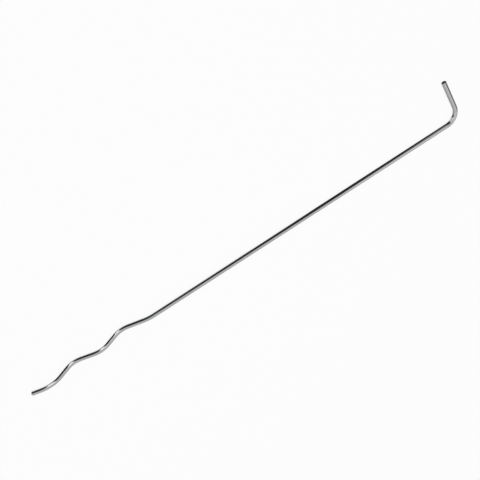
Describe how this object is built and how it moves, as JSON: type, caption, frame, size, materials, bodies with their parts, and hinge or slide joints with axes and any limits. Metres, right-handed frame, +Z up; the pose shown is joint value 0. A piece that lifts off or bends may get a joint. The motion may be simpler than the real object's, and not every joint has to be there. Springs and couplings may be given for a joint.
{
  "type": "masonry wall tie",
  "caption": "Round wire wall tie: a long straight shaft with a right-angled hook at one end and a wavy end that is bedded in a mortar joint.",
  "frame": {"origin": "middle of the tie's outline, on the surface that it lies on", "axes": "+X along the shaft towards the hook, +Y along the hook's leg towards its cut end, +Z up, square to the plane that the wire is bent in"},
  "size_m": [0.35, 0.0314, 0.003],
  "materials": {
    "wire": "bright drawn stainless steel wire"
  },
  "bodies": {
    "root": {"tie_wire": "wire"}
  },
  "joints": []
}
